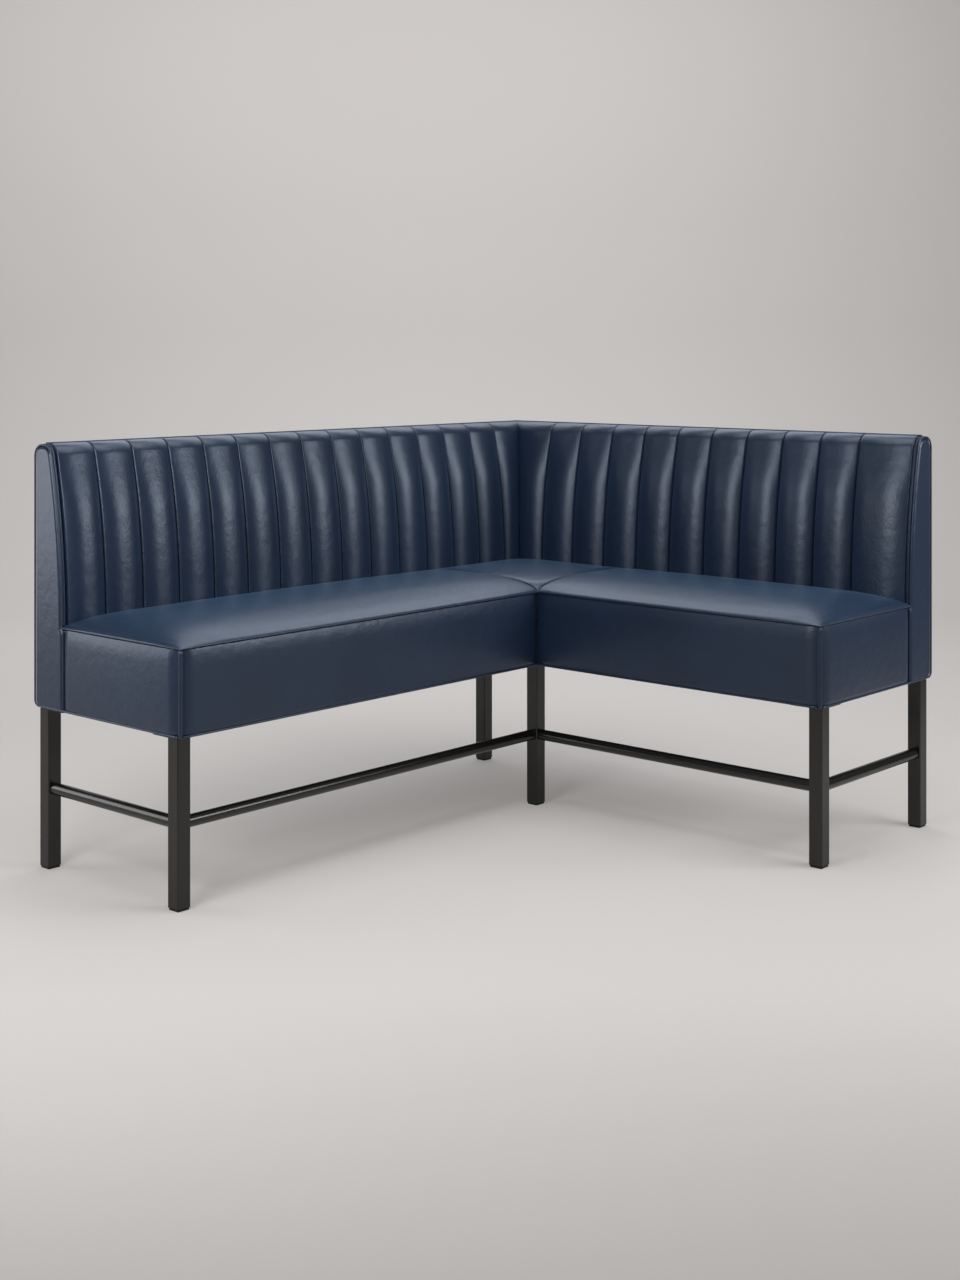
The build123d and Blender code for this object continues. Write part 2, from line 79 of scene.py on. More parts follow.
# Piping, panels and gaps
WELT = 0.005
CORNER_WELT = 0.009
GAP = 0.0003
WELT_STEP = WELT + GAP
PAD_END_OFFSET = WELT / 2 + WELT_STEP + WELT / 2 + GAP
PANEL = 0.008
PIPING_RADIUS = 0.0019
FLANGE_OFFSET, FLANGE_STEP, FLANGE_INSET, FLANGE_RADIUS = 0.0055, 0.004, 0.0085, 0.0026
CORNER_PIPING_RADIUS, CORNER_FLANGE_RADIUS = 0.0033, 0.0047
PANEL_INSET = 0.0062
JOINT_GAP = 0.0012
END_PANEL_EDGE, END_PANEL_REACH, END_PANEL_POWER = 0.005, 0.007, 2.2

# Seat crown
SEAT_CROWN = 0.034
CUSHION_REAR = BACK_DEPTH + CHANNEL_BULGE + GAP
CROWN_REACH = 0.4 * (DEPTH - CUSHION_REAR)
CROWN_POWER, CROWN_ROUNDING = 2.4, 0.62
REAR_REACH = 0.75 * CROWN_REACH
REAR_HEIGHT_SHARE = 0.56
CLOTH_PITCH, CLOTH_FRAMES, CLOTH_LIMIT = 0.012, 20, 0.005
EDGE_ROLL = 0.003
SLOT = 0.0004
SEAT_SEAM_DEPTH, SEAT_SEAM_WIDTH = 0.004, 0.0013
SEAT_DIP_DEPTH, SEAT_DIP_WIDTH = 0.0025, 0.010
FELL_INSET, FELL_DEPTH, FELL_WIDTH = 0.0045, 0.0018, 0.0010

# Side panels, hems and trim
PANEL_EDGE, PANEL_BOW, PANEL_GAP = 0.0003, 0.0036, 0.0006
SIDE_ROLL, TOP_ROLL, FOOT_ROLL, INNER_ROLL, JOINT_ROLL = 0.028, 0.034, 0.012, 0.040, 0.024
TOP_DROP, FOOT_DROP = 0.35, 0.75
HEM_RADIUS, HEM_INSET = 0.0024, 0.0020
VALLEY_RADIUS = 0.003
JOINT_RADIUS, JOINT_INSET = 0.0022, 0.0032
TUCKED_LEATHER_RADIUS = 0.0034
TOP_WELT_RADIUS, TOP_WELT_RISE, TOP_WELT_DEPTH = 0.0028, 0.0028, 0.032
STITCH_LENGTH, STITCH_PITCH, STITCH_RADIUS = 0.0046, 0.0066, 0.0009
STITCH_INSET, STITCH_RISE = 0.0014, 0.0004


class Wing:
    """One arm of the L: maps places along, across and above it to the frame."""

    def __init__(self, name, length, turned, first_seam, end_channel, count):
        self.name, self.length, self.turned = name, length, turned
        self.pad_end = length - PAD_END_OFFSET
        self.panel_start = DEPTH - PANEL + GAP
        pitch = (self.pad_end - end_channel - first_seam) / (count - 2)
        self.seams = [first_seam + pitch * i for i in range(count - 1)]

    def place(self, u, v, z):
        """Points in the frame, from numbers or arrays of them."""
        u, v, z = np.broadcast_arrays(*(np.asarray(a, float) for a in (u, v, z)))
        if self.turned:
            return np.stack([LONG_WING / 2 - v, SHORT_WING / 2 - u, z], -1)
        return np.stack([LONG_WING / 2 - u, SHORT_WING / 2 - v, z], -1)


LONG = Wing("long", LONG_WING, False, 0.165, 0.098, 15)
SHORT = Wing("short", SHORT_WING, True, 0.181, 0.140, 11)
WINGS = (LONG, SHORT)


# Materials

def new_material(name):
    """A material with its node tree and main shader."""
    material = bpy.data.materials.new(name)
    material.use_nodes = True
    nodes, links = material.node_tree.nodes, material.node_tree.links
    return material, nodes, links, nodes["Principled BSDF"]


def noise(nodes, links, coordinates, scale, detail=4.0, roughness=0.55):
    texture = nodes.new("ShaderNodeTexNoise")
    texture.inputs["Scale"].default_value = scale
    texture.inputs["Detail"].default_value = detail
    texture.inputs["Roughness"].default_value = roughness
    links.new(coordinates, texture.inputs["Vector"])
    return texture


def ramp(nodes, links, source, stops):
    node = nodes.new("ShaderNodeValToRGB")
    node.color_ramp.elements[0].position, node.color_ramp.elements[0].color = stops[0][0], (*stops[0][1], 1)
    node.color_ramp.elements[1].position, node.color_ramp.elements[1].color = stops[-1][0], (*stops[-1][1], 1)
    for position, colour in stops[1:-1]:
        node.color_ramp.elements.new(position).color = (*colour, 1)
    links.new(source, node.inputs["Fac"])
    return node


def bump(nodes, links, height, strength, distance, below=None):
    """A bump by strength and distance in metres, laid over the one below."""
    node = nodes.new("ShaderNodeBump")
    node.inputs["Strength"].default_value = strength
    node.inputs["Distance"].default_value = distance
    links.new(height, node.inputs["Height"])
    if below:
        links.new(below, node.inputs["Normal"])
    return node.outputs["Normal"]


def position(nodes):
    return nodes.new("ShaderNodeTexCoord").outputs["Object"]


def vary_roughness(nodes, links, source, shader, low, high):
    """Roughness that follows a texture between two values."""
    gloss = nodes.new("ShaderNodeMapRange")
    gloss.inputs["To Min"].default_value = low
    gloss.inputs["To Max"].default_value = high
    links.new(source, gloss.inputs["Value"])
    links.new(gloss.outputs["Result"], shader.inputs["Roughness"])


def leather():
    """Navy leather with fine grain, soft wrinkles and a slight sheen."""
    material, nodes, links, shader = new_material("navy_leather")
    where = position(nodes)
    cloud = noise(nodes, links, where, 5.0, 3.0)
    tone = ramp(nodes, links, cloud.outputs["Fac"],
                [(0.3, (0.0050, 0.0115, 0.0280)), (0.7, (0.0070, 0.0155, 0.0370))])
    links.new(tone.outputs["Color"], shader.inputs["Base Color"])
    grain = nodes.new("ShaderNodeTexVoronoi")
    grain.feature = "DISTANCE_TO_EDGE"
    grain.inputs["Scale"].default_value = 900.0
    links.new(where, grain.inputs["Vector"])
    softer = noise(nodes, links, where, 260.0, 3.0)
    wrinkle = noise(nodes, links, where, 38.0, 4.0)
    normal = bump(nodes, links, wrinkle.outputs["Fac"], 0.55, 0.0020)
    normal = bump(nodes, links, softer.outputs["Fac"], 0.12, 0.0003, normal)
    normal = bump(nodes, links, grain.outputs["Distance"], 0.18, 0.00012, normal)
    links.new(normal, shader.inputs["Normal"])
    vary_roughness(nodes, links, softer.outputs["Fac"], shader, 0.34, 0.42)
    shader.inputs["Specular IOR Level"].default_value = 0.6
    shader.inputs["Specular Tint"].default_value = (0.74, 0.85, 1.0, 1)
    shader.inputs["Sheen Weight"].default_value = 0.09
    shader.inputs["Sheen Roughness"].default_value = 0.45
    shader.inputs["Sheen Tint"].default_value = (0.30, 0.58, 1.0, 1)
    return material


def fine_finish(name, colour, roughness, grain_scale, grain_depth,
                spread=0.12, metallic=0.0, gloss_level=0.5):
    """A plain material with slight mottling and a fine surface texture."""
    material, nodes, links, shader = new_material(name)
    where = position(nodes)
    cloud = noise(nodes, links, where, 14.0)
    low = tuple(c * (1 - spread) for c in colour)
    high = tuple(c * (1 + spread) for c in colour)
    tone = ramp(nodes, links, cloud.outputs["Fac"], [(0.3, low), (0.7, high)])
    links.new(tone.outputs["Color"], shader.inputs["Base Color"])
    grain = noise(nodes, links, where, grain_scale, 3.0)
    links.new(bump(nodes, links, grain.outputs["Fac"], 0.3, grain_depth), shader.inputs["Normal"])
    vary_roughness(nodes, links, grain.outputs["Fac"], shader, roughness - 0.05, roughness + 0.05)
    shader.inputs["Metallic"].default_value = metallic
    shader.inputs["Specular IOR Level"].default_value = gloss_level
    return material


def wood(name, pale, dark, stretch):
    """Bare wood; stretch says how closely its grain lies along each axis."""
    material, nodes, links, shader = new_material(name)
    mapping = nodes.new("ShaderNodeMapping")
    mapping.inputs["Scale"].default_value = stretch
    links.new(position(nodes), mapping.inputs["Vector"])
    rings = noise(nodes, links, mapping.outputs["Vector"], 9.0, 6.0, 0.6)
    tone = ramp(nodes, links, rings.outputs["Fac"], [(0.35, dark), (0.65, pale)])
    links.new(tone.outputs["Color"], shader.inputs["Base Color"])
    links.new(bump(nodes, links, rings.outputs["Fac"], 0.3, 0.0004), shader.inputs["Normal"])
    shader.inputs["Roughness"].default_value = 0.7
    return material


def dust_cloth():
    """The thin black woven cloth under the seat boxes."""
    material, nodes, links, shader = new_material("black_dust_cloth")
    weave = nodes.new("ShaderNodeTexWave")
    weave.inputs["Scale"].default_value = 500.0
    weave.inputs["Distortion"].default_value = 1.5
    links.new(position(nodes), weave.inputs["Vector"])
    tone = ramp(nodes, links, weave.outputs["Fac"],
                [(0.2, (0.012, 0.012, 0.013)), (0.8, (0.03, 0.03, 0.032))])
    links.new(tone.outputs["Color"], shader.inputs["Base Color"])
    links.new(bump(nodes, links, weave.outputs["Fac"], 0.4, 0.0002), shader.inputs["Normal"])
    shader.inputs["Roughness"].default_value = 0.95
    return material


LEATHER = leather()
THREAD = fine_finish("navy_thread", (0.006, 0.014, 0.034), 0.7, 1500.0, 0.0001, gloss_level=0.12)
MATERIALS = {
    "leather": LEATHER,
    "powder_coat": fine_finish("black_powder_coat", (0.0048, 0.0044, 0.0040), 0.25, 700.0, 0.00006),
    "glide_plastic": fine_finish("black_glide_plastic", (0.003, 0.003, 0.003), 0.55, 300.0, 0.0001,
                                 gloss_level=0.25),
    "plywood": wood("birch_plywood", (0.62, 0.46, 0.29), (0.47, 0.32, 0.18), (1.0, 6.0, 30.0)),
    "softwood": wood("planed_softwood", (0.66, 0.51, 0.33), (0.50, 0.34, 0.19), (8.0, 8.0, 2.0)),
    "zinc_steel": fine_finish("zinc_plated_steel", (0.55, 0.55, 0.54), 0.32, 400.0, 0.0001, 0.06, 1.0),
    "dust_cloth": dust_cloth(),
}
for part in frame["record"]["subparts"]:
    mesh = frame["nodes"][part["node"]].data
    mesh.materials.clear()
    mesh.materials.append(MATERIALS[part["material_slot"]])


# Mesh helpers

def add_object(name, data):
    thing = bpy.data.objects.new(name, data)
    bpy.context.scene.collection.objects.link(thing)
    return thing


def outward_mesh(name, points, faces, weld=0.0):
    """A mesh with its faces turned outward, and points within weld of each other joined."""
    mesh = bpy.data.meshes.new(name)
    mesh.from_pydata([tuple(p) for p in points], [], [tuple(f) for f in faces])
    work = bmesh.new()
    work.from_mesh(mesh)
    if weld:
        bmesh.ops.remove_doubles(work, verts=work.verts, dist=weld)
    bmesh.ops.recalc_face_normals(work, faces=work.faces)
    work.to_mesh(mesh)
    work.free()
    return mesh


def make_piece(name, points, faces, material, replaced=(), fill=None):
    """A closed mesh piece that rides on the bench and stands for CAD nodes."""
    mesh = outward_mesh(name, points, faces, 1e-6)
    mesh.materials.append(material)
    mesh.shade_smooth()
    piece = add_object(name, mesh)
    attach(piece, "root")
    if replaced:
        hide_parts(*replaced)


def grid_faces(rows, columns, start=0, wrap=False):
    """Quads over a grid of points that is stored row by row."""
    faces = []
    for r in range(rows - 1):
        for c in range(columns if wrap else columns - 1):
            n = (c + 1) % columns
            a, b = start + r * columns, start + (r + 1) * columns
            faces.append((a + c, a + n, b + n, b + c))
    return faces


def edge_spaced(low, high, count, power=1.7):
    """Places from low to high that crowd towards both ends."""
    t = np.linspace(-1, 1, count)
    return (low + high) / 2 + (high - low) / 2 * np.sign(t) * (1 - (1 - np.abs(t)) ** power)


def boundary(rows, columns):
    """The indices round the edge of a grid, in order."""
    bottom = list(range(columns))
    right = [r * columns + columns - 1 for r in range(1, rows)]
    top = [(rows - 1) * columns + c for c in range(columns - 2, -1, -1)]
    left = [r * columns for r in range(rows - 2, 0, -1)]
    return bottom + right + top + left


def closed_by_rings(top, rings, rows, columns):
    """A grid closed by rings of points that follow its edge, and a flat last face."""
    edge = boundary(rows, columns)
    points = np.concatenate([top] + rings)
    faces = grid_faces(rows, columns)
    previous = edge
    start = len(top)
    for ring in rings:
        current = list(range(start, start + len(ring)))
        n = len(current)
        faces += [(previous[i], previous[(i + 1) % n], current[(i + 1) % n], current[i]) for i in range(n)]
        previous, start = current, start + n
    faces.append(previous)
    return points, faces


def smoothstep(x):
    """A smooth rise from 0 to 1."""
    x = np.clip(x, 0, 1)
    return x * x * (3 - 2 * x)


def crease(distance, depth, width):
    """How far a seam draws the surface in, at a distance from it."""
    return -depth * np.exp(-((distance / width) ** 2))


# Channelled backrests

def pad_profile(rows_low, rows_front, rows_top):
    """Places up the pad's face as v, z, angle of the outward side and bulge share."""
    low = [(BACK_DEPTH, z, 0.0, 1.0) for z in np.linspace(DECK_TOP, SEAM_HEIGHT, rows_low)[:-1]]
    front = []
    for t in np.linspace(0, 1, rows_front):
        a = LEAN * t
        bulge = 1 - (1 - CREST_BULGE_SHARE) * smoothstep((t - FADE_START) / (1 - FADE_START))
        v = BACK_DEPTH - BACK_RADIUS + BACK_RADIUS * math.cos(a)
        front.append((v, SEAM_HEIGHT + BACK_RADIUS * math.sin(a), a, bulge))
    top = []
    for t in np.linspace(0, 1, rows_top)[1:]:
        a = LEAN + (math.pi / 2 - LEAN) * t
        bulge = CREST_BULGE_SHARE * (1 - t) ** TOP_BULGE_POWER + TOP_BULGE_REST
        v = CREST_DEPTH + TOP_FRONT_RADIUS * math.cos(a)
        top.append((v, CREST_HEIGHT + TOP_FRONT_RADIUS * math.sin(a), a, bulge))
    return np.array(low + front + top)


def channel_height(wing, u, v):
    """The channels' swell, the seams' creases and the drop at the open end, along u.

    The row of the pad that lies at v starts at v too, because the corner is mitred.
    """
    edges = np.array([v] + wing.seams + [wing.pad_end - END_GROOVE])
    index = np.clip(np.searchsorted(edges, u, side="right") - 1, 0, len(edges) - 2)
    near, far = edges[index], edges[index + 1]
    t = np.clip((u - near) / (far - near), 0, 1)
    bulge = np.minimum(CHANNEL_BULGE, BULGE_LIMIT_SHARE * (far - near))
    dome = 1 - np.abs(2 * t - 1) ** DOME_POWER
    to_seam = np.min(np.abs(u[:, None] - np.array(wing.seams)), axis=1)
    seams = crease(to_seam, CREASE_DEPTH, CREASE_WIDTH) * np.clip((u - v) / 0.01, 0, 1)
    return bulge * dome, seams, -END_DROP * smoothstep((u - edges[-1]) / END_WALL + 0.5)


def channelled_back(wing):
    """The padded face with its channels, and a plain rear face behind it."""
    fractions = (1 - np.cos(np.linspace(0, math.pi, CHANNEL_COLUMNS + 1))) / 2
    front, back = [], []
    for v, z, a, share in pad_profile(8, 60, 22):
        edges = [v] + wing.seams + [wing.pad_end - END_GROOVE, wing.pad_end]
        u = np.unique(np.round(np.concatenate([
            near + (far - near) * fractions for near, far in zip(edges, edges[1:])]), 9))
        dome, seams, end = channel_height(wing, u, v)
        lift = dome * share + seams * min(1, share + 0.25) + end
        front.append(wing.place(u, v + lift * math.cos(a), z + lift * math.sin(a)))
        back.append(wing.place(u, v - PAD_BACKING * math.cos(a), z - PAD_BACKING * math.sin(a)))
    rows, columns = len(front), len(front[0])
    faces = grid_faces(rows, columns) + grid_faces(rows, columns, rows * columns)
    edge = boundary(rows, columns)
    for here, after in zip(edge, edge[1:] + edge[:1]):
        faces.append((here, after, after + rows * columns, here + rows * columns))
    make_piece(f"{wing.name}_channelled_back", np.concatenate(front + back), faces, LEATHER,
               [f"{wing.name}_back_pad"], 0.8)


for wing in WINGS:
    channelled_back(wing)


# Backrest outline, for the piping, end panels and rear covers

OUTLINE_STEPS = 14
REAR_OUTLINE = 2 * OUTLINE_STEPS + 1


def outline_points(inset):
    """The backrest's outline from the seat seam, over the top and down to the foot, as v and z."""
    quarter = math.pi / 2
    arcs = (
        (BACK_DEPTH - BACK_RADIUS, SEAM_HEIGHT, BACK_RADIUS, 0.0, LEAN, 3 * OUTLINE_STEPS),
        (CREST_DEPTH, CREST_HEIGHT, TOP_FRONT_RADIUS, LEAN, quarter, OUTLINE_STEPS),
        (TOP_REAR_RADIUS, HEIGHT - TOP_REAR_RADIUS, TOP_REAR_RADIUS, quarter, 2 * quarter, OUTLINE_STEPS),
        (LIP_RADIUS, BOX_BOTTOM + LIP_RADIUS, LIP_RADIUS, 2 * quarter, 3 * quarter, OUTLINE_STEPS),
    )
    points = []
    for v, z, radius, start, end, count in arcs:
        angles, reach = np.linspace(start, end, count), radius - inset
        points.append(np.stack([v + reach * np.cos(angles), z + reach * np.sin(angles)], 1))
    points[1] = points[1][1:]
    return np.concatenate(points)


def tube(path, radius, sides):
    """A round tube along a list of points in the frame; its radius may vary."""
    path = np.asarray(path, float)
    radii = np.broadcast_to(radius, len(path))
    tangents = np.gradient(path, axis=0)
    tangents /= np.linalg.norm(tangents, axis=1, keepdims=True)
    side = np.cross(tangents[0], (0.3, 0.5, 0.8))
    angles = np.linspace(0, 2 * math.pi, sides, endpoint=False)[:, None]
    rings = []
    for p, t, r in zip(path, tangents, radii):
        side = side - t * side.dot(t)
        side /= np.linalg.norm(side)
        rings.append(p + r * (np.cos(angles) * side + np.sin(angles) * np.cross(t, side)))
    points = np.concatenate(rings)
    faces = grid_faces(len(rings), sides, wrap=True)
    faces.append(list(range(sides)))
    faces.append([len(points) - 1 - i for i in range(sides)])
    return points, faces


def merged(parts):
    """Several lists of points and faces as one."""
    points, faces, start = [], [], 0
    for p, f in parts:
        points.append(p)
        faces.extend([tuple(i + start for i in face) for face in f])
        start += len(p)
    return np.concatenate(points), faces


for wing in WINGS:
    tubes = []
    for offset, inset, radius in (
            (WELT / 2, WELT / 2, PIPING_RADIUS),
            (WELT / 2 + WELT_STEP, WELT / 2, PIPING_RADIUS),
            (FLANGE_OFFSET, FLANGE_INSET, FLANGE_RADIUS),
            (FLANGE_OFFSET + FLANGE_STEP, FLANGE_INSET, FLANGE_RADIUS)):
        line = outline_points(inset)
        tubes.append(tube(wing.place(wing.length - offset, line[:, 0], line[:, 1]), radius, 14))
    make_piece(f"{wing.name}_end_piping", *merged(tubes), LEATHER, [f"{wing.name}_end_welts"])


def arc_reach(radius, rise):
    """How far an arc reaches sideways at a height above its centre."""
    return np.sqrt(np.maximum(radius**2 - rise**2, 0))


def end_panel(wing):
    """The flat padded panel on the open end of a backrest, between its front and rear outlines."""
    z = edge_spaced(BOX_BOTTOM, HEIGHT - PANEL_INSET, 150, 2.4)
    front = BACK_DEPTH - BACK_RADIUS + arc_reach(BACK_RADIUS - PANEL_INSET, z - SEAM_HEIGHT)
    rounded = CREST_DEPTH + arc_reach(TOP_FRONT_RADIUS - PANEL_INSET, z - CREST_HEIGHT)
    front = np.where(z > CREST_HEIGHT, rounded, front)
    front = np.where(z < SEAM_HEIGHT - 0.002, BACK_DEPTH - JOINT_GAP, front)
    upper, lower = z - (HEIGHT - TOP_REAR_RADIUS), z - (BOX_BOTTOM + LIP_RADIUS)
    rear = np.full_like(z, PANEL_INSET)
    rear = np.where(upper > 0, TOP_REAR_RADIUS - arc_reach(TOP_REAR_RADIUS - PANEL_INSET, upper), rear)
    rear = np.where(lower < 0, LIP_RADIUS - arc_reach(LIP_RADIUS - PANEL_INSET, lower), rear)
    share, level = np.meshgrid(edge_spaced(0, 1, 40, 2.0), z)
    v = rear[:, None] + (front - rear)[:, None] * share
    rows, columns = v.shape
    edge = boundary(rows, columns)
    rim = np.stack([v.reshape(-1)[edge], level.reshape(-1)[edge]], 1)
    spots = np.stack([v.reshape(-1), level.reshape(-1)], 1)
    distance = np.array([np.sqrt(((rim - spot) ** 2).sum(1)).min() for spot in spots])
    depth = PANEL - END_PANEL_EDGE * np.clip(1 - distance / END_PANEL_REACH, 0, 1) ** END_PANEL_POWER
    outer = wing.place(wing.length - PANEL + depth, spots[:, 0], spots[:, 1])
    ring = wing.place(wing.length - PANEL, rim[:, 0], rim[:, 1])
    make_piece(f"{wing.name}_end_panel_leather", *closed_by_rings(outer, [ring], rows, columns), LEATHER,
               [f"{wing.name}_back_end_panel"], 0.3)


def rear_cover(wing):
    """The padded cover over the top's rear half, down the back and round the foot."""
    columns = np.linspace(0, wing.pad_end, 60)
    rows = []
    for inset, step in ((0.0, 1), (PANEL, -1)):
        for v, z in outline_points(inset)[-REAR_OUTLINE:][::step]:
            rows.append(wing.place(np.maximum(columns, v), v, z))
    count = len(columns)
    points = np.concatenate(rows)
    faces = grid_faces(len(rows), count)
    last = (len(rows) - 1) * count
    for c in range(count - 1):
        faces.append((last + c, last + c + 1, c + 1, c))
    for c in (0, count - 1):
        faces.append([r * count + c for r in range(len(rows))])
    make_piece(f"{wing.name}_rear_cover_leather", points, faces, LEATHER,
               [f"{wing.name}_back_rear_cover"], 0.3)


for wing in WINGS:
    end_panel(wing)
    rear_cover(wing)


# Seat cushions

def front_rise(distance):
    """The crown's height share at a distance in from a free edge."""
    x = np.clip(distance / CROWN_REACH, 0, 1)
    return (1 - (1 - x) ** CROWN_POWER) ** CROWN_ROUNDING


def rear_fall(v):
    """The height share left where the crown falls towards the backrest."""
    x = np.clip((v - BACK_DEPTH) / REAR_REACH, 0, 1)
    return REAR_HEIGHT_SHARE + (1 - REAR_HEIGHT_SHARE) * np.sin(x * math.pi / 2)


def seat_seam(distance):
    """A narrow seam in a broad shallow dip."""
    return (crease(distance, SEAT_SEAM_DEPTH, SEAT_SEAM_WIDTH)
            + crease(distance, SEAT_DIP_DEPTH, SEAT_DIP_WIDTH))


def wing_crown(wing, u, v):
    """Height of a wing's cushion over its edge."""
    share = front_rise(wing.length - u) * front_rise(DEPTH - v) * rear_fall(v)
    return EDGE_ROLL + (SEAT_CROWN - EDGE_ROLL) * share


def wing_seams(wing, u, v):
    """A seam to the corner cushion and a felled seam along the end."""
    front = front_rise(DEPTH - v)
    return (seat_seam(u - DEPTH) + crease(wing.length - u - FELL_INSET, FELL_DEPTH, FELL_WIDTH)) * front


def corner_crown(u, v):
    """Height of the corner cushion over its edge."""
    share = 1 - (1 - front_rise(DEPTH - u)) * (1 - front_rise(DEPTH - v))
    return EDGE_ROLL + (SEAT_CROWN - EDGE_ROLL) * share * rear_fall(u) * rear_fall(v)


def corner_seams(u, v):
    """The seams to both wings' cushions."""
    return seat_seam(DEPTH - u) * front_rise(DEPTH - v) + seat_seam(DEPTH - v) * front_rise(DEPTH - u)


def settled(wing, u_span, v_span, crown):
    """How far a cushion's cover moves when it is filled, as cloth held along its seams."""
    counts = [max(int((high - low) / CLOTH_PITCH), 8) + 1 for low, high in (u_span, v_span)]
    u, v = np.meshgrid(np.linspace(*u_span, counts[0]), np.linspace(*v_span, counts[1]))
    rows, columns = u.shape
    top = wing.place(u, v, SEAM_HEIGHT + crown(u, v)).reshape(-1, 3)
    edge = boundary(rows, columns)
    foot = np.column_stack([top[edge][:, :2], np.full(len(edge), DECK_TOP)])
    points, faces = closed_by_rings(top, [foot], rows, columns)
    cover = add_object("cover", outward_mesh("cover", points, faces))
    held = cover.vertex_groups.new(name="held")
    held.add(edge + list(range(len(top), len(points))), 1.0, "REPLACE")
    cloth = cover.modifiers.new("cloth", "CLOTH")
    cloth.settings.vertex_group_mass = "held"
    cloth.settings.quality = 6
    cloth.settings.mass = 0.4
    cloth.settings.tension_stiffness = cloth.settings.compression_stiffness = 30.0
    cloth.settings.shear_stiffness = 12.0
    cloth.settings.bending_stiffness = 6.0
    cloth.settings.use_pressure = True
    cloth.settings.uniform_pressure_force = 4.0
    cloth.settings.effector_weights.gravity = 0.0
    cloth.collision_settings.use_collision = False
    cloth.point_cache.frame_end = CLOTH_FRAMES
    for number in range(1, CLOTH_FRAMES + 1):
        bpy.context.scene.frame_set(number)
    result = cover.evaluated_get(bpy.context.evaluated_depsgraph_get()).to_mesh()
    after = np.array([tuple(vertex.co) for vertex in result.vertices])[: len(top)]
    bpy.data.objects.remove(cover)
    bpy.context.scene.frame_set(1)
    moved = after - top
    reach = np.linalg.norm(moved, axis=1, keepdims=True)
    moved *= CLOTH_LIMIT * np.tanh(reach / CLOTH_LIMIT) / np.maximum(reach, 1e-9)
    return moved.reshape(rows, columns, 3)


def finer(values, share):
    """Values on an even grid along the first axis, read smoothly at shares from 0 to 1 of its length."""
    place = np.clip(share, 0, 1) * (len(values) - 1)
    start = np.minimum(place.astype(int), len(values) - 2)
    t = (place - start).reshape(-1, *[1] * (values.ndim - 1))
    before, here, after, beyond = (values[np.clip(start + k, 0, len(values) - 1)] for k in (-1, 0, 1, 2))
    return here + t / 2 * (after - before + t * (
        2 * before - 5 * here + 4 * after - beyond + t * (3 * (here - after) + beyond - before)))


def cushion(name, wing, u_span, v_span, free, crown, seams, replaced, size):
    """A crowned cushion; free says by how much its skirt draws in at each side."""
    us, vs = edge_spaced(*u_span, size[0]), edge_spaced(*v_span, size[1])
    u, v = np.meshgrid(us, vs)
    rows, columns = u.shape
    moved = finer(settled(wing, u_span, v_span, crown), (vs - v_span[0]) / (v_span[1] - v_span[0]))
    moved = finer(moved.transpose(1, 0, 2), (us - u_span[0]) / (u_span[1] - u_span[0])).transpose(1, 0, 2)
    top = (wing.place(u, v, SEAM_HEIGHT + crown(u, v) + seams(u, v)) + moved).reshape(-1, 3)
    edge = boundary(rows, columns)
    edge_u, edge_v = u.reshape(-1)[edge], v.reshape(-1)[edge]
    rings = []
    for share, height in SKIRT:
        inner_u = np.clip(edge_u, u_span[0] + share * free[0], u_span[1] - share * free[1])
        inner_v = np.clip(edge_v, v_span[0] + share * free[2], v_span[1] - share * free[3])
        rings.append(wing.place(inner_u, inner_v, height))
    make_piece(name, *closed_by_rings(top, rings, rows, columns), LEATHER, replaced, 0.85)


# The skirt rolls under at the edge, tucks in over the side panels and ends on the
# deck: shares of the tuck, and heights.
TUCK = PANEL + 2 * GAP
LIP = SEAM_HEIGHT + EDGE_ROLL / 3
SKIRT = [(0.04, LIP + EDGE_ROLL * 0.3), (0.12, LIP + EDGE_ROLL * 0.08), (0.3, LIP), (1.0, LIP),
         (1.0, DECK_TOP)]
REAR_EDGE = BACK_DEPTH - 0.001
for wing in WINGS:
    cushion(f"{wing.name}_seat_cushion_leather", wing, (DEPTH + GAP, wing.length), (REAR_EDGE, DEPTH),
            (0.0, TUCK, 0.0, TUCK), lambda u, v, wing=wing: wing_crown(wing, u, v),
            lambda u, v, wing=wing: wing_seams(wing, u, v), [f"{wing.name}_seat_cushion"], (260, 130))
cushion("corner_seat_cushion_leather", LONG, (REAR_EDGE, DEPTH), (REAR_EDGE, DEPTH), (0.0, 0.0, 0.0, 0.0),
        corner_crown, corner_seams, ["corner_seat_cushion"], (140, 140))


# Upholstered sides of the seat boxes

def roll(distance, reach, power=2.0):
    """A rounded edge: 0 at the edge, 1 beyond its reach."""
    return 1 - np.clip(1 - distance / reach, 0, 1) ** power


def side_panel(name, place, width, replaced, start_roll):
    """A thinly padded panel, with x along it, y up it and its swell outward."""
    tall = SEAM_HEIGHT - SLOT - BOX_BOTTOM
    x, y = np.meshgrid(edge_spaced(0, width, 150, 2.2), edge_spaced(0, tall, 80, 2.2))
    top = 1 - TOP_DROP * (1 - roll(tall - y, TOP_ROLL))
    foot = 1 - FOOT_DROP * (1 - roll(y, FOOT_ROLL))
    puff = roll(x, start_roll) * roll(width - x, SIDE_ROLL) * top * foot
    bow = np.sin(math.pi * np.clip(x / width, 0, 1)) ** 0.5 * np.sin(math.pi * np.clip(y / tall, 0, 1)) ** 0.5
    swell = PANEL_EDGE + (PANEL - PANEL_EDGE) * puff + PANEL_BOW * bow
    rows, columns = x.shape
    outer = place(x, y, swell).reshape(-1, 3)
    edge = boundary(rows, columns)
    ring = place(x.reshape(-1)[edge], y.reshape(-1)[edge], np.zeros(len(edge)))
    make_piece(name, *closed_by_rings(outer, [ring], rows, columns), LEATHER, replaced, 0.3)


